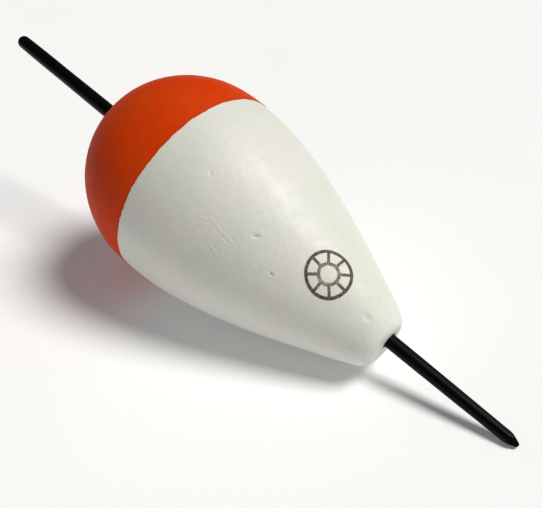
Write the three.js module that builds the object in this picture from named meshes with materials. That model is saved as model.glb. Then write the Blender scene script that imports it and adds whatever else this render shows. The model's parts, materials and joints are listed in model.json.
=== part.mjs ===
import * as THREE from 'three';
import { toCreasedNormals } from 'three/addons/utils/BufferGeometryUtils.js';

// A pear-shaped foam bobber float on a slim plastic stem, lying on its side.
// Millimetres. Each solid is turned about local Z, which runs from the narrow
// end of the body (0) to the top of the coloured dome (99); the whole float is
// then laid down on the belly of the body and the point of the stem.

// ---- body -------------------------------------------------------------
const BODY_SEGMENTS = 48;
const BORE_R = 2.215;                 // through hole that grips the stem
const DOME_CENTRE = 69.4;             // the widest line, from the narrow end
const DOME_R = 28.28;                 // half the greatest width
const DOME_HEIGHT = 29.63;            // from the widest line to the top
const DOME_STEPS = 10;
const PAINT_EDGE = 67.0;              // where the coloured dip starts
const PAINT_EDGE_R = 28.25;
// distance along the axis, radius: the pear, from the narrow end's flat ring up
const PEAR = [
  [0.0, 5.5], [0.3, 6.5], [0.8, 7.38], [2.4, 8.52], [4.8, 9.69], [7.8, 11.08],
  [13.0, 13.32], [17.5, 15.26], [21.4, 16.89], [24.9, 18.29], [28.1, 19.53],
  [33.6, 21.54], [37.8, 22.94], [41.7, 24.13], [45.3, 25.11], [52.0, 26.67],
  [58.5, 27.74], [64.7, 28.20], [PAINT_EDGE, PAINT_EDGE_R], [DOME_CENTRE, DOME_R],
];

// ---- the bore runs slightly off the body's middle line -------------------
// sideways place of the bore's middle at the narrow end and at the dome's top
const BORE_LOW = new THREE.Vector2(-0.94, -1.11);
const BORE_HIGH = new THREE.Vector2(0, 0);

// ---- coloured dip coat -------------------------------------------------
const COAT_GAP = 0.05;
const COAT_THICK = 0.15;
const COAT_HOLE_R = 2.42;             // the coat stops short of the bore

// ---- stem, measured from where it leaves the narrow end ------------------
const STEM_SEGMENTS = 24;
const POINT_START = -35.3;
const STEM_TIP = -37.9;
const STEM_TOP = 147.5;
// distance along the stem, diameter
const STEM = [
  [POINT_START, 3.06], [-32.5, 3.12], [-16, 3.48], [0, 3.76], [20, 4.08], [40, 4.24],
  [80, 4.24], [110, 4.20], [128, 4.10], [143.5, 3.95], [145.6, 3.86],
];
const TIP_HALF = 0.42;                // half the width of the blunt end
const POINT_STEPS = 5;
const POINT_TURN = Math.PI / 4;       // the four flats, turned about the stem

// ---- printed mark -----------------------------------------------------
const MARK_AT = 18.1;                 // along the axis
const MARK_TURN = 2.69;               // about the axis, from the side that lies down
const MARK_RINGS = [2.1, 2.9, 5.2, 6.0];   // two rings joined by eight spokes
const MARK_SPOKES = 8;
const MARK_CELLS = 40;
const MARK_GAP = 0.05;
const MARK_THICK = 0.08;

// ---- helpers ------------------------------------------------------------
// a turned solid about local Z; the middle of one flat faces local +X
function turned(profile, segments) {
  const points = profile.map(([s, r]) => new THREE.Vector2(r, s));
  return new THREE.LatheGeometry(points, segments, Math.PI / segments).rotateX(Math.PI / 2);
}

// moves the vertices of a geometry one by one
function reshape(geometry, move) {
  const p = geometry.attributes.position;
  for (let i = 0; i < p.count; i++) {
    const [x, y, z] = move(p.getX(i), p.getY(i), p.getZ(i));
    p.setXYZ(i, x, y, z);
  }
  return geometry;
}

function boreAt(s) {
  return BORE_LOW.clone().lerp(BORE_HIGH, s / 100);
}

// ---- body profile: the pear, then the dome up to the bore ------------------
function domePoint(angle, out = 0) {
  return [
    DOME_CENTRE + (DOME_HEIGHT + out) * Math.sin(angle),
    (DOME_R + out) * Math.cos(angle),
  ];
}
const domeEnd = (holeR, out = 0) => Math.acos(holeR / (DOME_R + out));
const outline = [...PEAR];
for (let i = 1; i <= DOME_STEPS; i++) {
  outline.push(domePoint((domeEnd(BORE_R) * i) / DOME_STEPS));
}

function bodySolid() {
  const profile = [[0, BORE_R], ...outline, [0, BORE_R]];
  return reshape(turned(profile, BODY_SEGMENTS), (x, y, z) => {
    if (Math.hypot(x, y) > BORE_R + 0.01) return [x, y, z];
    const c = boreAt(z);
    return [x + c.x, y + c.y, z];
  });
}

// ---- dip coat: the dome's own outline, pushed out twice ----------------------
function coatSolid() {
  const line = (out) => {
    const p = [[PAINT_EDGE, PAINT_EDGE_R + out], [DOME_CENTRE, DOME_R + out]];
    for (let i = 1; i < DOME_STEPS; i++) {
      p.push(domePoint((domeEnd(BORE_R) * i) / DOME_STEPS, out));
    }
    p.push(domePoint(domeEnd(COAT_HOLE_R, out), out));
    return p;
  };
  const inner = line(COAT_GAP);
  const outer = line(COAT_GAP + COAT_THICK);
  return turned([...outer, ...inner.reverse(), outer[0]], BODY_SEGMENTS);
}

// ---- stem: a turned rod whose lower end is cut to a blunt four-sided point ------
function stemSolid() {
  const r0 = STEM[0][1] / 2;
  const profile = [[STEM_TIP, 0]];
  for (let i = 0; i < POINT_STEPS; i++) {
    profile.push([STEM_TIP + ((POINT_START - STEM_TIP) * i) / POINT_STEPS, r0]);
  }
  for (const [s, d] of STEM) profile.push([s, d / 2]);
  const [sLast, dLast] = STEM[STEM.length - 1];
  for (const degrees of [25, 50, 72]) {
    const q = THREE.MathUtils.degToRad(degrees);
    profile.push([sLast + (STEM_TOP - sLast) * Math.sin(q), (dLast / 2) * Math.cos(q)]);
  }
  profile.push([STEM_TOP, 0]);
  return reshape(turned(profile, STEM_SEGMENTS), (x, y, z) => {
    if (z >= POINT_START - 1e-6 || Math.hypot(x, y) < 1e-6) return [x, y, z];
    const f = (z - STEM_TIP) / (POINT_START - STEM_TIP);
    const half = TIP_HALF + (r0 - TIP_HALF) * f;
    const a = Math.atan2(y, x) - POINT_TURN;
    const reach = half / Math.max(Math.abs(Math.cos(a)), Math.abs(Math.sin(a)));
    const k = Math.min(1, reach / r0);
    return [x * k, y * k, z];
  });
}

// ---- printed mark: cells of a round grid laid on the body ---------------------
function radiusAt(s) {
  for (let i = 1; i < outline.length; i++) {
    const [s0, r0] = outline[i - 1];
    const [s1, r1] = outline[i];
    if (s <= s1) return r0 + ((r1 - r0) * (s - s0)) / (s1 - s0);
  }
  return 0;
}

function onBody(u, v, out) {
  const slope = (radiusAt(MARK_AT + 4) - radiusAt(MARK_AT - 4)) / 8;
  const s = MARK_AT + u / Math.hypot(1, slope);
  const r = radiusAt(s);
  const t = MARK_TURN + v / radiusAt(MARK_AT);
  return [(r + out) * Math.cos(t), (r + out) * Math.sin(t), s - slope * out];
}

function markSolid() {
  const [r1, r2, r3, r4] = MARK_RINGS;
  const rho = [r1, r2, r2 + 0.8, r3 - 0.7, r3, r4];
  const bands = rho.length - 1;
  const wrap = (k) => ((k % MARK_CELLS) + MARK_CELLS) % MARK_CELLS;
  const filled = (i, k) => i >= 0 && i < bands
    && (i === 0 || i === bands - 1 || wrap(k) % (MARK_CELLS / MARK_SPOKES) === 0);
  const points = [];
  const faces = [];
  const known = new Map();
  const at = (i, k, top) => {
    const key = `${i},${wrap(k)},${top}`;
    if (!known.has(key)) {
      const a = (wrap(k) / MARK_CELLS) * 2 * Math.PI;
      known.set(key, points.length);
      points.push(onBody(rho[i] * Math.cos(a), rho[i] * Math.sin(a), MARK_GAP + (top ? MARK_THICK : 0)));
    }
    return known.get(key);
  };
  const quad = (a, b, c, d) => faces.push([a, b, c], [a, c, d]);
  for (let i = 0; i < bands; i++) {
    for (let k = 0; k < MARK_CELLS; k++) {
      if (!filled(i, k)) continue;
      const c = (di, dk, top) => at(i + di, k + dk, top);
      quad(c(0, 0, 1), c(0, 1, 1), c(1, 1, 1), c(1, 0, 1));
      quad(c(0, 0, 0), c(1, 0, 0), c(1, 1, 0), c(0, 1, 0));
      if (!filled(i - 1, k)) quad(c(0, 0, 0), c(0, 1, 0), c(0, 1, 1), c(0, 0, 1));
      if (!filled(i + 1, k)) quad(c(1, 0, 1), c(1, 1, 1), c(1, 1, 0), c(1, 0, 0));
      if (!filled(i, k - 1)) quad(c(0, 0, 1), c(1, 0, 1), c(1, 0, 0), c(0, 0, 0));
      if (!filled(i, k + 1)) quad(c(0, 1, 0), c(1, 1, 0), c(1, 1, 1), c(0, 1, 1));
    }
  }
  // wind the faces so that they look out of the ink
  let volume = 0;
  for (const f of faces) {
    const [p, q, r] = f.map((i) => new THREE.Vector3(...points[i]));
    volume += p.dot(q.cross(r));
  }
  if (volume < 0) for (const f of faces) f.reverse();
  const g = new THREE.BufferGeometry();
  g.setAttribute('position', new THREE.Float32BufferAttribute(points.flat(), 3));
  g.setIndex(faces.flat());
  return g;
}

// ---- assembly ---------------------------------------------------------------
const float = new THREE.Group();      // the float about its own axis

function add(name, geometry, color, roughness) {
  const mesh = new THREE.Mesh(
    toCreasedNormals(geometry, 0.6),
    new THREE.MeshStandardMaterial({ name, color, roughness, metalness: 0 }),
  );
  mesh.name = name;
  float.add(mesh);
  return mesh;
}

const body = add('foam_body', bodySolid(), 0xe6e6de, 0.5);
add('orange_dip_coat', coatSolid(), 0xbe3a10, 0.42);
const stem = add('stem', stemSolid(), 0x0a0a0a, 0.42);
add('printed_mark', markSolid(), 0x2b2620, 0.6);

// the stem stands in the bore
const stemAxis = new THREE.Vector3(
  BORE_HIGH.x - BORE_LOW.x, BORE_HIGH.y - BORE_LOW.y, 100,
).normalize();
stem.quaternion.setFromUnitVectors(new THREE.Vector3(0, 0, 1), stemAxis);
stem.position.set(BORE_LOW.x, BORE_LOW.y, 0);
stem.updateMatrix();

// ---- laid down: tilted until belly and point are equally low -----------------
function lowest(mesh, tilt) {
  const p = mesh.geometry.attributes.position;
  const v = new THREE.Vector3();
  let z = Infinity;
  for (let i = 0; i < p.count; i++) {
    v.fromBufferAttribute(p, i).applyMatrix4(mesh.matrix);
    z = Math.min(z, v.z * Math.sin(tilt) - v.x * Math.cos(tilt));
  }
  return z;
}
let low = 0.1;
let high = 0.5;
for (let i = 0; i < 50; i++) {
  const tilt = (low + high) / 2;
  if (lowest(stem, tilt) < lowest(body, tilt)) high = tilt; else low = tilt;
}
const TILT = (low + high) / 2;

float.quaternion.setFromRotationMatrix(new THREE.Matrix4().makeBasis(
  new THREE.Vector3(-Math.sin(TILT), 0, -Math.cos(TILT)),
  new THREE.Vector3(0, -1, 0),
  new THREE.Vector3(-Math.cos(TILT), 0, Math.sin(TILT)),
));

const group = new THREE.Group();
group.name = 'bobber_float';
group.add(float);
group.updateMatrixWorld(true);

// rest on z = 0, centred on the origin
const box = new THREE.Box3().setFromObject(group, true);
float.position.set(-(box.min.x + box.max.x) / 2, -(box.min.y + box.max.y) / 2, -box.min.z);

export default group;
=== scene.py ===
import json
import math
import random

import bpy
import numpy as np
from mathutils import Matrix, Vector, noise


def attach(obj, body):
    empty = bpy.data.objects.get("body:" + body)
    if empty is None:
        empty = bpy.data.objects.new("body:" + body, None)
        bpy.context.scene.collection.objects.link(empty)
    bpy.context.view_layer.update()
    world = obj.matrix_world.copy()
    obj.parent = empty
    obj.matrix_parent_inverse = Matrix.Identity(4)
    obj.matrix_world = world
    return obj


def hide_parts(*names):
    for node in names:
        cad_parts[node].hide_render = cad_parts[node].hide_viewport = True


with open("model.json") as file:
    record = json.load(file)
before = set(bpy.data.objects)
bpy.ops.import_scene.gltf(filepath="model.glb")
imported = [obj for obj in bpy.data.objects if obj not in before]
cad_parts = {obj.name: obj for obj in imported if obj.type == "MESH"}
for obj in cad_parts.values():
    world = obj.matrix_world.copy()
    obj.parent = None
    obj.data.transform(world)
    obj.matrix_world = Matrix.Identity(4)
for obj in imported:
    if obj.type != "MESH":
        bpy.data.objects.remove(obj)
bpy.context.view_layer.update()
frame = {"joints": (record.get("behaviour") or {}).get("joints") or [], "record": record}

random.seed(7)

# ---------------------------------------------------------------------------
# The float's own axis. Lengths below are millimetres along it (s, from the
# narrow end) and away from it (r); phi turns about it, from the side lying down.
# ---------------------------------------------------------------------------
record = frame["record"]
slide = next(j for j in frame["joints"] if j["name"] == "stem_slide")
face = next(m for m in record["mounts"] if m["name"] == "tail_face")
AXIS = -np.array(face["axis"], float)
AXIS /= np.linalg.norm(AXIS)
TILT = math.asin(AXIS[2])
DOWN = np.array([-math.sin(TILT), 0.0, -math.cos(TILT)])
SIDE = np.array([0.0, -1.0, 0.0])
# the bore, and the stem in it, leave the narrow end this far off its middle
BORE_OFF = np.array([-0.94, -1.11])
START = np.array(face["pos_m"], float) * 1000 + 3.1 * (BORE_OFF[0] * DOWN + BORE_OFF[1] * SIDE) / np.hypot(*BORE_OFF)
STEM_AXIS = np.array(slide["axis"], float)
STEM_AXIS /= np.linalg.norm(STEM_AXIS)
STEM_START = START + BORE_OFF[0] * DOWN + BORE_OFF[1] * SIDE
STEM_DOWN = DOWN - (DOWN @ STEM_AXIS) * STEM_AXIS
STEM_DOWN /= np.linalg.norm(STEM_DOWN)
STEM_SIDE = np.cross(STEM_AXIS, STEM_DOWN)


def place(s, r, phi):
    """Millimetres about the float's axis to millimetres in the row frame."""
    s, r, phi = np.broadcast_arrays(s, r, phi)
    return (
        START
        + s[..., None] * AXIS
        + (r * np.cos(phi))[..., None] * DOWN
        + (r * np.sin(phi))[..., None] * SIDE
    )


def place_stem(s, r, phi):
    """The same about the stem's own axis, s from where it leaves the narrow end."""
    s, r, phi = np.broadcast_arrays(s, r, phi)
    return (
        STEM_START
        + s[..., None] * STEM_AXIS
        + (r * np.cos(phi))[..., None] * STEM_DOWN
        + (r * np.sin(phi))[..., None] * STEM_SIDE
    )


# ---------------------------------------------------------------------------
# Outline of the body
# ---------------------------------------------------------------------------
DOME_R, DOME_HEIGHT, DOME_CENTRE, BORE_R = 28.28, 29.63, 69.4, 2.215
PEAR = np.array([
    (0.0, 5.5), (0.28, 6.5), (0.85, 7.38), (2.4, 8.52), (4.8, 9.69), (7.8, 11.08),
    (13.0, 13.32), (17.5, 15.26), (21.4, 16.89), (24.9, 18.29), (28.1, 19.53),
    (33.6, 21.54), (37.8, 22.94), (41.7, 24.13), (45.3, 25.11), (52.0, 26.67),
    (58.5, 27.74), (64.7, 28.20), (DOME_CENTRE, DOME_R),
])


def natural_spline(t, y):
    """Second derivatives of a natural cubic through (t, y)."""
    n = len(t)
    h = np.diff(t)
    m = np.zeros((n, n))
    b = np.zeros(n)
    m[0, 0] = m[-1, -1] = 1
    for i in range(1, n - 1):
        m[i, i - 1], m[i, i], m[i, i + 1] = h[i - 1], 2 * (h[i - 1] + h[i]), h[i]
        b[i] = 6 * ((y[i + 1] - y[i]) / h[i] - (y[i] - y[i - 1]) / h[i - 1])
    return np.linalg.solve(m, b)


def spline_at(t, y, d2, q):
    i = np.clip(np.searchsorted(t, q) - 1, 0, len(t) - 2)
    h = t[i + 1] - t[i]
    a, b = (t[i + 1] - q) / h, (q - t[i]) / h
    return a * y[i] + b * y[i + 1] + ((a**3 - a) * d2[i] + (b**3 - b) * d2[i + 1]) * h * h / 6


# a few points of the dome beyond its widest line keep the spline running true
extra = np.array([
    (DOME_CENTRE + DOME_HEIGHT * math.sin(q), DOME_R * math.cos(q)) for q in (0.15, 0.3, 0.45)
])
control = np.vstack([PEAR, extra])
chord = np.concatenate([[0], np.cumsum(np.hypot(*np.diff(control, axis=0).T))])
d2s, d2r = natural_spline(chord, control[:, 0]), natural_spline(chord, control[:, 1])
t_widest = chord[len(PEAR) - 1]
fine_t = np.linspace(0, t_widest, 1600)
pear_line = np.stack([
    spline_at(chord, control[:, 0], d2s, fine_t),
    spline_at(chord, control[:, 1], d2r, fine_t),
], 1)
dome_end = math.acos(BORE_R / DOME_R)
q = np.linspace(0, dome_end, 1200)[1:]
dome_line = np.stack([DOME_CENTRE + DOME_HEIGHT * np.sin(q), DOME_R * np.cos(q)], 1)
outer = np.vstack([pear_line, dome_line])
outer_len = np.concatenate([[0], np.cumsum(np.hypot(*np.diff(outer, axis=0).T))])


def along(length):
    """Point (s, r) and outward normal of the outer line at a length along it."""
    s = np.interp(length, outer_len, outer[:, 0])
    r = np.interp(length, outer_len, outer[:, 1])
    e = 0.05
    ds = np.interp(length + e, outer_len, outer[:, 0]) - np.interp(length - e, outer_len, outer[:, 0])
    dr = np.interp(length + e, outer_len, outer[:, 1]) - np.interp(length - e, outer_len, outer[:, 1])
    k = np.hypot(ds, dr)
    return s, r, -dr / k, ds / k


def length_at(s):
    return np.interp(s, outer[:, 0], outer_len)


# ---------------------------------------------------------------------------
# Relief of the foam under its paint: fused beads, faint unevenness, and the
# dents, pits and paint wrinkles of a used moulding
# ---------------------------------------------------------------------------
# s, phi, half length along, half length around, turn, depth (minus is inwards)
PITS = [
    (35.47, 2.416, 1.05, 0.42, -0.72, -0.34),
    (27.72, 2.179, 0.34, 0.34, 0.0, -0.42),
    (52.73, 2.579, 0.42, 0.36, 0.0, -0.30),
    (57.27, 2.952, 0.45, 0.30, 0.6, -0.16),
    (5.54, 2.641, 0.95, 0.75, 0.3, -0.20),
    (4.50, 1.779, 0.55, 0.50, 0.0, -0.16),
    (18.20, 1.652, 0.85, 0.45, 0.8, -0.12),
    (48.50, -2.400, 0.55, 0.45, 0.4, -0.25),
    (31.00, -1.100, 0.40, 0.40, 0.0, -0.30),
    (22.40, 0.650, 0.80, 0.45, 1.0, -0.22),
    (60.20, 1.050, 0.45, 0.40, 0.0, -0.25),
    (12.50, -2.000, 0.50, 0.40, 0.2, -0.18),
    (41.30, -0.250, 1.10, 0.50, 0.5, -0.20),
]
# lines of (s, phi) along which the paint has wrinkled
WRINKLES = [
    [(43.63, 2.078), (41.9, 2.035), (40.29, 1.996)],
    [(42.06, 2.037), (41.1, 2.030), (40.17, 2.020)],
    [(42.70, 2.093), (41.81, 2.141), (40.64, 2.171), (39.21, 2.160), (37.37, 2.178)],
    [(43.37, 2.237), (41.53, 2.227), (39.57, 2.206), (37.90, 2.203)],
    [(48.72, 2.214), (46.85, 2.224), (45.25, 2.286)],
    [(47.22, 2.040), (46.85, 2.104), (47.04, 2.178)],
    [(46.29, 2.268), (44.63, 2.252), (43.00, 2.235)],
    [(21.0, -1.45), (19.2, -1.40), (17.9, -1.30)],
    [(52.0, -0.90), (50.1, -0.86), (48.9, -0.80), (47.5, -0.82)],
]


def radius_at(s):
    return float(np.interp(s, outer[:, 0], outer[:, 1]))


def smooth(x):
    x = np.clip(x, 0, 1)
    return x * x * (3 - 2 * x)


def relief(s, r, phi):
    """Millimetres the painted surface stands proud of the plain outline, and how hollow it is there (0 to 1)."""
    s, r, phi = (np.asarray(v, float).ravel() for v in np.broadcast_arrays(s, r, phi))
    x, y = r * np.cos(phi), r * np.sin(phi)
    out = np.empty(len(s))
    for i in range(len(s)):
        v = Vector((x[i], y[i], s[i]))
        patch = 0.5 + 0.5 * noise.noise(v / 13.0 + Vector((9.1, 2.3, 4.4)))
        slow = 0.085 * noise.noise(v / 17.0)
        mid = 0.030 * noise.noise(v / 4.3 + Vector((3.0, 7.0, 1.0)))
        d = noise.voronoi(v / 2.75)[0]
        edge = min(max((d[1] - d[0]) / 0.42, 0.0), 1.0)
        groove = -(0.010 + 0.030 * patch) * (1 - edge * edge * (3 - 2 * edge))
        grain = 0.006 * noise.noise(v / 0.9)
        out[i] = slow + mid + groove + grain
    hollow = np.zeros(len(s))
    for s0, p0, la, lb, turn, depth in PITS:
        u = s - s0
        w = ((phi - p0 + math.pi) % (2 * math.pi) - math.pi) * radius_at(s0)
        a = u * math.cos(turn) + w * math.sin(turn)
        b = -u * math.sin(turn) + w * math.cos(turn)
        k = np.exp(-((a / la) ** 2 + (b / lb) ** 2) ** 1.3)
        out += depth * k
        hollow = np.maximum(hollow, k * min(1.0, -depth / 0.42))
    for line in WRINKLES:
        for (s0, p0), (s1, p1) in zip(line, line[1:]):
            rr = radius_at((s0 + s1) / 2)
            u, w = s - s0, ((phi - p0 + math.pi) % (2 * math.pi) - math.pi) * rr
            du, dw = s1 - s0, (p1 - p0) * rr
            f = np.clip((u * du + w * dw) / (du * du + dw * dw), 0, 1)
            gap = np.hypot(u - f * du, w - f * dw)
            out += 0.045 * np.exp(-((gap / 0.24) ** 2)) - 0.022 * np.exp(-(((gap - 0.55) / 0.3) ** 2))
    return out, hollow


# ---------------------------------------------------------------------------
# Mesh making
# ---------------------------------------------------------------------------
def grid_mesh(name, points, loop, caps=False, attributes=None):
    """points is (rows, columns, 3) in millimetres; columns always close on themselves, rows do if loop."""
    rows, cols, _ = points.shape
    verts = points.reshape(-1, 3)
    i = np.arange(rows if loop else rows - 1)
    k = np.arange(cols)
    a = (i[:, None] * cols + k).ravel()
    b = (i[:, None] * cols + (k + 1) % cols).ravel()
    c = (((i[:, None] + 1) % rows) * cols + (k + 1) % cols).ravel()
    d = (((i[:, None] + 1) % rows) * cols + k).ravel()
    faces = np.stack([a, b, c, d], 1)
    if caps:
        verts = np.vstack([verts, verts[:cols].mean(0), verts[(rows - 1) * cols:rows * cols].mean(0)])
        first, last = rows * cols, rows * cols + 1
    # outward faces: the sign of the enclosed volume tells
    p = [verts[faces[:, j]] for j in range(4)]
    vol = np.einsum("ij,ij->i", p[0], np.cross(p[1], p[2])).sum() + np.einsum("ij,ij->i", p[0], np.cross(p[2], p[3])).sum()
    centre = verts.mean(0)
    q4 = [v - centre for v in p]
    vol = np.einsum("ij,ij->i", q4[0], np.cross(q4[1], q4[2])).sum() + np.einsum("ij,ij->i", q4[0], np.cross(q4[2], q4[3])).sum()
    flip = vol < 0
    if flip:
        faces = faces[:, ::-1]
    faces = faces.tolist()
    if caps:
        for kk in range(cols):
            m = (kk + 1) % cols
            f0 = [first, m, kk]
            f1 = [last, (rows - 1) * cols + kk, (rows - 1) * cols + m]
            faces.append(f0[::-1] if flip else f0)
            faces.append(f1[::-1] if flip else f1)
    mesh = bpy.data.meshes.new(name)
    mesh.from_pydata((verts / 1000).tolist(), [], faces)
    mesh.update()
    mesh.polygons.foreach_set("use_smooth", np.ones(len(mesh.polygons), bool))
    for key, values in (attributes or {}).items():
        layer = mesh.attributes.new(key, "FLOAT", "POINT")
        data = np.zeros(len(verts), np.float32)
        data[:rows * cols] = np.asarray(values, np.float32).ravel()
        layer.data.foreach_set("value", data)
    obj = bpy.data.objects.new(name, mesh)
    bpy.context.scene.collection.objects.link(obj)
    return obj


# ---- foam body --------------------------------------------------------------
COLS = 480
turns = (np.arange(COLS) + 0.5) / COLS * 2 * math.pi
total = outer_len[-1]

rows_s, rows_r, rows_ns, rows_nr, rows_w, rows_off = [], [], [], [], [], []


def row(s, r, ns, nr, w, off=0.0):
    """off is how far the ring follows the bore, which leaves the narrow end off the middle."""
    rows_s.append(s); rows_r.append(r); rows_ns.append(ns); rows_nr.append(nr); rows_w.append(w); rows_off.append(off)


# rounded lip of the bore, flat ring of the narrow end, then the outer line
for a in np.linspace(90, 0, 5):
    t = math.radians(a)
    row(0.28 - 0.28 * math.cos(t), BORE_R + 0.28 - 0.28 * math.sin(t), -math.cos(t), -math.sin(t), 0.0, 1.0)
for rr in np.linspace(2.75, 5.3, 9):
    row(0.0, rr, -1.0, 0.0, 0.5, 1 - (rr - 2.495) / (5.5 - 2.495))
for length in np.concatenate([np.arange(0.0, 4.0, 0.25), np.arange(4.0, total - 1.2, 0.38)]):
    s, r, ns, nr = along(max(length, 0.06))
    row(float(s), float(r), float(ns), float(nr), float(min(1.0, 0.5 + length / 6)))
# lip at the top of the dome
for a in (0.9, 0.6, 0.35):
    s, r, ns, nr = along(total - a)
    row(float(s), float(r), float(ns), float(nr), 0.3)
s_top = float(outer[-1, 0])
row(s_top - 0.02, BORE_R + 0.18, 0.95, 0.3, 0.0)
row(s_top - 0.09, BORE_R + 0.06, 0.7, -0.7, 0.0)
row(s_top - 0.25, BORE_R, 0.0, -1.0, 0.0)
for s in np.linspace(s_top - 1.5, 1.2, 46):
    row(float(s), BORE_R, 0.0, -1.0, 0.0, 1 - s / 100)
rows_s, rows_r, rows_ns, rows_nr, rows_w, rows_off = map(np.array, (rows_s, rows_r, rows_ns, rows_nr, rows_w, rows_off))
S, PHI = np.meshgrid(rows_s, turns, indexing="ij")
R = np.repeat(rows_r[:, None], COLS, 1)
W = np.repeat(rows_w[:, None], COLS, 1)
lift, hollow = relief(S, R, PHI)
lift, hollow = lift.reshape(S.shape), hollow.reshape(S.shape)
proud = lift * W
# nothing under the floor: the belly keeps to the plain outline where it rests
belly = smooth((1.3 - np.abs((PHI + math.pi) % (2 * math.pi) - math.pi)) / 0.6)
proud = np.where(proud > 0, proud * (1 - belly), proud)
pts = place(S + proud * rows_ns[:, None], R + proud * rows_nr[:, None], PHI)
pts += rows_off[:, None, None] * (BORE_OFF[0] * DOWN + BORE_OFF[1] * SIDE)
pts[..., 2] = np.maximum(pts[..., 2], 0.0)
body = grid_mesh("foam_body_fine", pts, True, attributes={"hollow": hollow * W})

# ---- orange dip coat ----------------------------------------------------------
COAT_COLS = 720
cturn = (np.arange(COAT_COLS) + 0.5) / COAT_COLS * 2 * math.pi
jag = np.empty(COAT_COLS)
for k, t in enumerate(cturn):
    v = Vector((28.5 * math.cos(t), 28.5 * math.sin(t), 0.0))
    jag[k] = (
        0.16 * noise.noise(v / 3.1 + Vector((5, 1, 2)))
        + 0.17 * noise.noise(v / 1.25 + Vector((1, 8, 3)))
        + 0.07 * noise.noise(v / 0.6)
        + 0.20 * noise.noise(v / 9.0)
    )
edge_s = 66.35 + 0.6 * np.cos(cturn - 1.7)
edge_len = length_at(edge_s) + jag
end_len = float(length_at(DOME_CENTRE + DOME_HEIGHT * math.sin(math.acos(2.42 / DOME_R))))
steps = np.concatenate([[0, 0.04, 0.09, 0.16, 0.26, 0.4, 0.6, 0.85, 1.15, 1.5], np.arange(2.0, 60, 0.5)])
base = float(edge_len.min())
steps = steps[steps < end_len - base - 0.5]
fr = steps / (end_len - base)
LEN = edge_len[None, :] + (end_len - edge_len)[None, :] * np.append(fr, 1.0)[:, None]
# near the edge the rows keep their true distance from it, so its lip is even
near = smooth(1 - steps / 6.0)
LEN[:-1] = LEN[:-1] * (1 - near[:, None]) + (edge_len[None, :] + steps[:, None]) * near[:, None]
CP = np.repeat(cturn[None, :], LEN.shape[0], 0)
cs, cr, cns, cnr = along(LEN)
clift, chollow = relief(cs, cr, CP)
clift, chollow = clift.reshape(cs.shape), chollow.reshape(cs.shape)
cbelly = smooth((1.3 - np.abs((CP + math.pi) % (2 * math.pi) - math.pi)) / 0.6)
clift = np.where(clift > 0, clift * (1 - cbelly), clift)
x = LEN - edge_len[None, :]
thick = 0.115 * np.sqrt(np.clip(1 - (1 - np.clip(x / 0.30, 0, 1)) ** 2, 0, 1))
thick += 0.035 * np.exp(-(((x - 0.45) / 0.35) ** 2))
to_end = end_len - LEN
thick *= 0.35 + 0.65 * smooth(to_end / 0.35)
inner_off = clift * 0.9 + 0.018
outer_off = clift * 0.9 + 0.030 + thick
outer_pts = place(cs + outer_off * cns, cr + outer_off * cnr, CP)
inner_pts = place(cs + inner_off * cns, cr + inner_off * cnr, CP)
coat_pts = np.concatenate([outer_pts, inner_pts[::-1]], 0)
edge_near = np.exp(-x / 0.5)
coat = grid_mesh(
    "orange_dip_fine", coat_pts, True,
    attributes={
        "rim_thinning_and_painted_shade": np.concatenate([edge_near, edge_near[::-1]], 0),
        "hollow": np.concatenate([chollow, chollow[::-1]], 0),
    },
)

# ---- stem ----------------------------------------------------------------------
STEM = np.array([
    (-35.3, 3.06), (-32.5, 3.12), (-16, 3.48), (0, 3.76), (20, 4.08), (40, 4.22),
    (60, 4.24), (80, 4.24), (110, 4.20), (128, 4.10), (143.5, 3.95), (145.6, 3.86),
])
d2d = natural_spline(STEM[:, 0], STEM[:, 1] / 2)
STEM_TOP, STEM_TIP, TIP_HALF, POINT_START = 147.5, -37.9, 0.42, -35.3
SEAM = 2.95
# columns crowd together at the two parting seams
spread = []
for centre in (SEAM, SEAM + math.pi):
    for off in (-0.16, -0.11, -0.075, -0.045, -0.02, 0.0, 0.02, 0.045, 0.075, 0.11, 0.16):
        spread.append((centre + off) % (2 * math.pi))
spread += [((k + 0.5) / 96 * 2 * math.pi) for k in range(96)]
spread = np.sort(np.array(spread))
keep = np.append(np.diff(spread) > 0.012, True)
sturn = spread[keep]
rings_s, rings_r = [], []
for s in np.linspace(STEM_TIP, POINT_START + 0.6, 34):
    rings_s.append(s)
rings_s = np.array(rings_s)


def stem_r(s):
    return float(spline_at(STEM[:, 0], STEM[:, 1] / 2, d2d, np.clip(np.array([s]), -35.3, 145.6))[0])


stem_rows = []
seam_gap = np.minimum(
    np.abs((sturn - SEAM + math.pi) % (2 * math.pi) - math.pi),
    np.abs((sturn - SEAM) % (2 * math.pi) - math.pi),
)
r0 = 1.53
turned = sturn - math.pi / 4
flat_at = np.maximum(np.abs(np.cos(turned)), np.abs(np.sin(turned)))
for j, s in enumerate(rings_s):
    f = (s - STEM_TIP) / (POINT_START - STEM_TIP)
    half = TIP_HALF + (r0 - TIP_HALF) * f
    square = half / flat_at
    full = stem_r(max(s, POINT_START)) if f >= 1 else r0
    k = 14.0
    r = (square**-k + full**-k) ** (-1 / k) if f < 1.6 else np.full(len(sturn), full)
    stem_rows.append((s, np.minimum(r, full)))
length_s = np.arange(POINT_START + 1.1, 145.4, 0.5)
for s in length_s:
    ripple = 0.010 * noise.noise(Vector((s / 6.0, 3.3, 0.0))) + 0.004 * noise.noise(Vector((s / 1.3, 8.3, 0.0)))
    seam = 0.022 * np.exp(-((seam_gap / 0.035) ** 2)) * (0.75 + 0.25 * noise.noise(Vector((s / 2.5, 0.0, 5.0))))
    stem_rows.append((s, np.full(len(sturn), stem_r(s) - 0.012 + ripple) + seam))
s_last = 145.6
r_last = stem_r(s_last)
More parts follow.
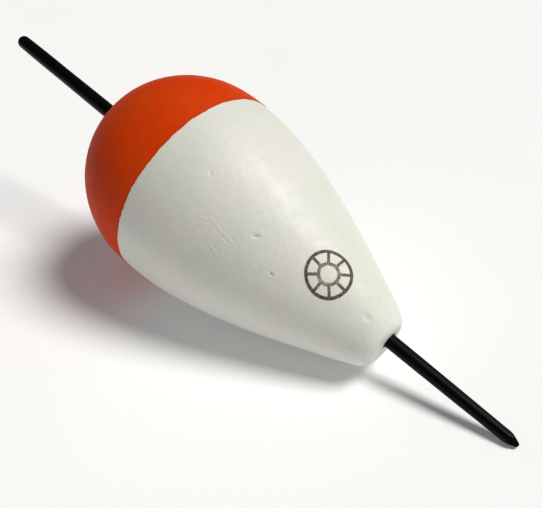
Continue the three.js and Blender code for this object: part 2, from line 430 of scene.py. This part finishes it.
for a in np.linspace(4, 86, 12):
    t = math.radians(a)
    stem_rows.append((s_last + (STEM_TOP - s_last) * math.sin(t), np.full(len(sturn), r_last * math.cos(t))))
SS = np.array([s for s, _ in stem_rows])
SR = np.array([r for _, r in stem_rows])
# the blunt end is broken off a little unevenly and its rim is rounded
SR[0] *= 0.72
SR[1] *= 0.93
order = np.argsort(SS, kind="stable")
SS, SR = SS[order], SR[order]
spts = place_stem(np.repeat(SS[:, None], len(sturn), 1), SR, np.repeat(sturn[None, :], len(SS), 0))
spts[..., 2] = np.maximum(spts[..., 2], 0.0)
stem = grid_mesh("stem_fine", spts, False, caps=True)
stem.data.set_sharp_from_angle(angle=math.radians(30))

# ---- printed mark: two rings joined by eight spokes, in slightly broken ink --------
MARK_AT, MARK_TURN = 18.1, 2.69
RHO = [2.1, 2.9, 5.2, 6.0]
SPOKES, SPOKE_HALF = 8, 0.36


def mark_cells():
    rho = np.concatenate([
        np.linspace(RHO[0], RHO[1], 5), np.linspace(RHO[1], RHO[2], 11)[1:], np.linspace(RHO[2], RHO[3], 5)[1:],
    ])
    n = 160
    # spoke sides fall on grid lines: each spoke is 4 columns wide at every radius
    return rho, n


rho, n_around = mark_cells()
slope_s, slope_r, slope_ns, slope_nr = along(length_at(MARK_AT))
mark_len = float(length_at(MARK_AT))


def on_body(u, v, out):
    """u along the body's skin towards the dome, v around it, both millimetres from the mark's middle."""
    length = mark_len + u
    s, r, ns, nr = along(length)
    phi = MARK_TURN + v / np.maximum(r, 1.0)
    up, _ = relief(s, r, phi)
    up = up.reshape(np.shape(s)) + out
    return place(s + up * ns, r + up * nr, phi)


per = n_around // SPOKES
verts2, faces2, index = [], [], {}


def angle_for(i, k):
    """Grid line k at ring i: the four columns of a spoke keep its width at every radius."""
    m, j = divmod(k, per)
    if j > per // 2:
        m, j = m + 1, j - per
    centre = m * 2 * math.pi / SPOKES
    half = math.asin(min(0.95, SPOKE_HALF / rho[i]))
    if abs(j) <= 2:
        return centre + half * j / 2
    gap = 2 * math.pi / SPOKES / 2 - half
    return centre + math.copysign(half + gap * (abs(j) - 2) / (per // 2 - 2), j)


def filled(i, k):
    if i < 0 or i >= len(rho) - 1:
        return False
    if i < 4 or i >= len(rho) - 5:
        return True
    j = k % per
    return j in (0, 1, per - 1, per - 2)


def corner(i, k, top):
    k %= n_around
    key = (i, k, top)
    if key not in index:
        a = angle_for(i, k)
        wob = 0.05 * noise.noise(Vector((rho[i] * math.cos(a) * 2.2, rho[i] * math.sin(a) * 2.2, 1.0 * (i in (0, 4, 14, 18)))))
        rr = rho[i] + (wob if i in (0, 4, 14, 18) else 0.0)
        index[key] = len(verts2)
        verts2.append((rr * math.cos(a), rr * math.sin(a), 0.052 if top else 0.014))
    return index[key]


for i in range(len(rho) - 1):
    for k in range(n_around):
        if not filled(i, k):
            continue
        c = lambda di, dk, top: corner(i + di, k + dk, top)
        faces2.append((c(0, 0, 1), c(1, 0, 1), c(1, 1, 1), c(0, 1, 1)))
        faces2.append((c(0, 0, 0), c(0, 1, 0), c(1, 1, 0), c(1, 0, 0)))
        if not filled(i - 1, k):
            faces2.append((c(0, 0, 0), c(0, 0, 1), c(0, 1, 1), c(0, 1, 0)))
        if not filled(i + 1, k):
            faces2.append((c(1, 0, 1), c(1, 0, 0), c(1, 1, 0), c(1, 1, 1)))
        if not filled(i, (k - 1) % n_around):
            faces2.append((c(0, 0, 1), c(0, 0, 0), c(1, 0, 0), c(1, 0, 1)))
        if not filled(i, (k + 1) % n_around):
            faces2.append((c(0, 1, 0), c(0, 1, 1), c(1, 1, 1), c(1, 1, 0)))
flat2 = np.array(verts2)
mpts = on_body(flat2[:, 0], flat2[:, 1], flat2[:, 2])
mesh = bpy.data.meshes.new("printed_mark_fine")
mesh.from_pydata((mpts / 1000).tolist(), [], faces2)
mesh.update()
layer = mesh.attributes.new("reach", "FLOAT", "POINT")
layer.data.foreach_set("value", np.hypot(flat2[:, 0], flat2[:, 1]).astype(np.float32))
mark = bpy.data.objects.new("printed_mark_fine", mesh)
bpy.context.scene.collection.objects.link(mark)
import bmesh
bm = bmesh.new()
bm.from_mesh(mesh)
bmesh.ops.recalc_face_normals(bm, faces=bm.faces)
bm.to_mesh(mesh)
bm.free()

# ---------------------------------------------------------------------------
# Materials. Object coordinates are the row frame in metres, and ride with the body.
# ---------------------------------------------------------------------------
def srgb(r, g, b):
    f = lambda c: c / 12.92 if c <= 0.04045 else ((c + 0.055) / 1.055) ** 2.4
    return (f(r / 255), f(g / 255), f(b / 255), 1.0)


class Nodes:
    def __init__(self, name):
        self.mat = bpy.data.materials.new(name)
        self.mat.use_nodes = True
        self.t = self.mat.node_tree
        self.t.nodes.clear()
        self.out = self.t.nodes.new("ShaderNodeOutputMaterial")
        self.bsdf = self.t.nodes.new("ShaderNodeBsdfPrincipled")
        self.link(self.bsdf.outputs["BSDF"], self.out.inputs["Surface"])
        self.coord = self.t.nodes.new("ShaderNodeTexCoord")

    def link(self, a, b):
        self.t.links.new(a, b)

    def noise(self, per_mm, detail=3.0, rough=0.55, distort=0.0, vector=None):
        n = self.t.nodes.new("ShaderNodeTexNoise")
        n.inputs["Scale"].default_value = per_mm * 1000
        n.inputs["Detail"].default_value = detail
        n.inputs["Roughness"].default_value = rough
        n.inputs["Distortion"].default_value = distort
        self.link(vector or self.coord.outputs["Object"], n.inputs["Vector"])
        return n.outputs["Fac"]

    def voronoi(self, per_mm, feature="DISTANCE_TO_EDGE"):
        n = self.t.nodes.new("ShaderNodeTexVoronoi")
        n.feature = feature
        n.inputs["Scale"].default_value = per_mm * 1000
        self.link(self.coord.outputs["Object"], n.inputs["Vector"])
        return n.outputs["Distance"]

    def ramp(self, value, stops):
        n = self.t.nodes.new("ShaderNodeValToRGB")
        e = n.color_ramp.elements
        while len(e) < len(stops):
            e.new(0.5)
        for el, (pos, col) in zip(e, stops):
            el.position = pos
            el.color = col if isinstance(col, tuple) else (col, col, col, 1)
        self.link(value, n.inputs["Fac"])
        return n.outputs["Color"]

    def math(self, op, a, b=None, clamp=False):
        n = self.t.nodes.new("ShaderNodeMath")
        n.operation = op
        n.use_clamp = clamp
        for i, v in enumerate((a, b)):
            if v is None:
                continue
            if isinstance(v, (int, float)):
                n.inputs[i].default_value = v
            else:
                self.link(v, n.inputs[i])
        return n.outputs[0]

    def mix(self, fac, a, b, kind="MIX"):
        n = self.t.nodes.new("ShaderNodeMix")
        n.data_type = "RGBA"
        n.blend_type = kind
        for key, v in (("Factor", fac), ("A", a), ("B", b)):
            s = next(i for i in n.inputs if i.name == key and (i.type == "VALUE" if key == "Factor" else i.type == "RGBA"))
            if isinstance(v, (int, float, tuple)):
                s.default_value = v
            else:
                self.link(v, s)
        return next(o for o in n.outputs if o.type == "RGBA")

    def attribute(self, name):
        n = self.t.nodes.new("ShaderNodeAttribute")
        n.attribute_name = name
        return n.outputs["Fac"]

    def bump(self, height, distance_mm, strength=1.0, under=None):
        n = self.t.nodes.new("ShaderNodeBump")
        n.inputs["Strength"].default_value = strength
        n.inputs["Distance"].default_value = distance_mm / 1000
        self.link(height, n.inputs["Height"])
        if under is not None:
            self.link(under, n.inputs["Normal"])
        return n.outputs["Normal"]

    def set(self, **kw):
        for key, v in kw.items():
            s = self.bsdf.inputs[key.replace("_", " ")]
            if isinstance(v, (int, float, tuple)):
                s.default_value = v
            else:
                self.link(v, s)


# white sealing paint over foam beads
m = Nodes("white_sealed_foam")
patches = m.ramp(m.noise(0.055, 3), [(0.32, srgb(226, 228, 217)), (0.52, srgb(231, 231, 223)), (0.70, srgb(234, 230, 223))])
fine = m.ramp(m.noise(0.9, 4, 0.6), [(0.30, (0.955, 0.958, 0.955, 1)), (0.62, (1, 1, 1, 1))])
colour = m.mix(1.0, patches, fine, "MULTIPLY")
# painted shade: the white darkens a little along the grooves between the beads
bead_groove_painted_shade = m.ramp(m.voronoi(0.36), [(0.0, (0.972, 0.974, 0.972, 1)), (0.06, (1, 1, 1, 1))])
colour = m.mix(1.0, colour, bead_groove_painted_shade, "MULTIPLY")
specks = m.ramp(m.noise(2.6, 2, 0.5), [(0.715, (1, 1, 1, 1)), (0.775, (0.70, 0.70, 0.68, 1))])
colour = m.mix(0.8, colour, specks, "MULTIPLY")
# painted shade: the white darkens in the pits and dents, more where they are deeper
pit_painted_shade = m.ramp(m.attribute("hollow"), [(0.35, (1, 1, 1, 1)), (0.95, (0.52, 0.50, 0.48, 1))])
colour = m.mix(1.0, colour, pit_painted_shade, "MULTIPLY")
rough = m.ramp(m.noise(0.35, 4), [(0.30, 0.40), (0.70, 0.56)])
b1 = m.bump(m.voronoi(0.36), 0.030, 0.35)
b2 = m.bump(m.noise(1.1, 5, 0.62), 0.030, 0.55, b1)
m.set(Base_Color=colour, Roughness=rough, Normal=b2)
m.bsdf.inputs["Specular IOR Level"].default_value = 0.42
m.bsdf.inputs["Subsurface Weight"].default_value = 0.06
m.bsdf.inputs["Subsurface Radius"].default_value = (0.9, 0.85, 0.8)
m.bsdf.inputs["Subsurface Scale"].default_value = 0.0015
white = m.mat

# orange dip
m = Nodes("orange_dip_paint")
base = m.ramp(m.noise(0.05, 3), [(0.30, srgb(216, 60, 5)), (0.55, srgb(220, 66, 7)), (0.75, srgb(222, 73, 10))])
cloud = m.ramp(m.noise(0.45, 4, 0.6), [(0.30, (0.93, 0.91, 0.90, 1)), (0.65, (1, 1, 1, 1))])
base = m.mix(1.0, base, cloud, "MULTIPLY")
# the dip thins at its very edge, which lightens it there, and a painted shade line darkens the colour just inside it,
# along the lip
rim_thinning_and_painted_shade = m.ramp(m.attribute("rim_thinning_and_painted_shade"), [(0.35, (1, 1, 1, 1)), (0.80, (0.80, 0.60, 0.95, 1)), (1.0, (0.95, 0.85, 1.0, 1))])
base = m.mix(0.85, base, rim_thinning_and_painted_shade, "MULTIPLY")
rough = m.ramp(m.noise(0.25, 4), [(0.30, 0.50), (0.72, 0.60)])
b1 = m.bump(m.voronoi(0.36), 0.030, 0.25)
b2 = m.bump(m.noise(1.4, 4, 0.6), 0.022, 0.5, b1)
m.set(Base_Color=base, Roughness=rough, Normal=b2)
m.bsdf.inputs["Specular IOR Level"].default_value = 0.06
orange = m.mat

# black moulded plastic
m = Nodes("black_stem_plastic")
stretch = m.t.nodes.new("ShaderNodeMapping")
stretch.inputs["Rotation"].default_value = (0, TILT, 0)
stretch.inputs["Scale"].default_value = (0.08, 1, 1)
m.link(m.coord.outputs["Object"], stretch.inputs["Vector"])
drawn = m.noise(2.4, 4, 0.6, vector=stretch.outputs["Vector"])
tint = m.ramp(drawn, [(0.25, srgb(2, 2, 2)), (0.75, srgb(6, 5, 5))])
scuff = m.ramp(m.noise(0.8, 5, 0.7), [(0.62, (1, 1, 1, 1)), (0.80, (2.1, 2.1, 2.1, 1))])
tint = m.mix(1.0, tint, scuff, "MULTIPLY")
rough = m.ramp(drawn, [(0.25, 0.34), (0.75, 0.50)])
b1 = m.bump(drawn, 0.02, 0.5)
b2 = m.bump(m.noise(3.0, 3), 0.010, 0.5, b1)
m.set(Base_Color=tint, Roughness=rough, Normal=b2)
m.bsdf.inputs["Specular IOR Level"].default_value = 0.10
black = m.mat

# ink
m = Nodes("dark_print_ink")
ring = m.ramp(m.math("DIVIDE", m.attribute("reach"), 6.5), [(0.40, srgb(112, 108, 92)), (0.50, srgb(96, 91, 78)), (0.82, srgb(72, 66, 60))])
wear = m.ramp(m.noise(1.7, 4, 0.65), [(0.46, (1, 1, 1, 1)), (0.70, (3.4, 3.3, 3.1, 1))])
m.set(Base_Color=m.mix(1.0, ring, wear, "MULTIPLY"), Roughness=m.ramp(m.noise(0.9, 3), [(0.3, 0.52), (0.7, 0.68)]),
      Normal=m.bump(m.noise(2.2, 3), 0.012, 0.5))
m.bsdf.inputs["Specular IOR Level"].default_value = 0.3
ink = m.mat

for obj, mat in ((body, white), (coat, orange), (stem, black), (mark, ink)):
    obj.data.materials.append(mat)

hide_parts("foam_body"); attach(body, "float_body")
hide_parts("orange_dip_coat"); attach(coat, "float_body")
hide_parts("printed_mark"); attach(mark, "float_body")
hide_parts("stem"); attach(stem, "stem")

# ---------------------------------------------------------------------------
# Floor, light, camera
# ---------------------------------------------------------------------------
floor_mesh = bpy.data.meshes.new("floor")
floor_mesh.from_pydata([(-25, -25, 0), (25, -25, 0), (25, 25, 0), (-25, 25, 0)], [], [(0, 1, 2, 3)])
floor = bpy.data.objects.new("floor", floor_mesh)
bpy.context.scene.collection.objects.link(floor)
f = Nodes("pale_floor")
f.set(Base_Color=f.ramp(f.noise(0.01, 2), [(0.3, (0.90, 0.905, 0.91, 1)), (0.7, (0.92, 0.925, 0.93, 1))]))
f.bsdf.inputs["Roughness"].default_value = 0.9
f.bsdf.inputs["Emission Color"].default_value = (0.97, 0.98, 1.0, 1)
f.bsdf.inputs["Emission Strength"].default_value = 0.13
f.bsdf.inputs["Specular IOR Level"].default_value = 0.1
floor_mesh.materials.append(f.mat)

AZ, EL = math.radians(41.871), math.radians(34.701)
right = np.array([math.cos(AZ), math.sin(AZ), 0.0])
up = np.array([-math.sin(AZ) * math.sin(EL), math.cos(AZ) * math.sin(EL), math.cos(EL)])
back = np.array([math.sin(AZ) * math.cos(EL), -math.cos(AZ) * math.cos(EL), math.sin(EL)])
eye = START - 27.921 * right + 22.186 * up + 195.131 * back
cam_data = bpy.data.cameras.new("camera")
cam_data.sensor_width = 36.0
cam_data.sensor_fit = "AUTO"
cam_data.lens = 36.0 * 800 / 542
cam_data.clip_start, cam_data.clip_end = 0.005, 60
cam = bpy.data.objects.new("camera", cam_data)
bpy.context.scene.collection.objects.link(cam)
rot = Matrix((right, up, back)).transposed()
cam.matrix_world = Matrix.Translation(Vector(eye / 1000)) @ rot.to_4x4()
bpy.context.scene.camera = cam

def soft_sun(name, direction, strength, spread, colour):
    data = bpy.data.lights.new(name, "SUN")
    data.energy = strength
    data.angle = math.radians(spread)
    data.color = colour
    obj = bpy.data.objects.new(name, data)
    obj.rotation_mode = "QUATERNION"
    obj.rotation_quaternion = Vector(-np.array(direction, float)).to_track_quat("-Z", "Y")
    bpy.context.scene.collection.objects.link(obj)
    return obj


soft_sun("key", 0.51 * right + 0.67 * up + 0.57 * back, 3.0, 26, (1.0, 0.985, 0.945))

world = bpy.data.worlds.new("world")
world.use_nodes = True
wt = world.node_tree
wt.nodes.clear()
bg = wt.nodes.new("ShaderNodeBackground")
bg.inputs["Color"].default_value = (0.95, 0.95, 1.0, 1)
bg.inputs["Strength"].default_value = 0.07
wo = wt.nodes.new("ShaderNodeOutputWorld")
wt.links.new(bg.outputs[0], wo.inputs["Surface"])
bpy.context.scene.world = world
bpy.context.scene.view_settings.view_transform = "Standard"
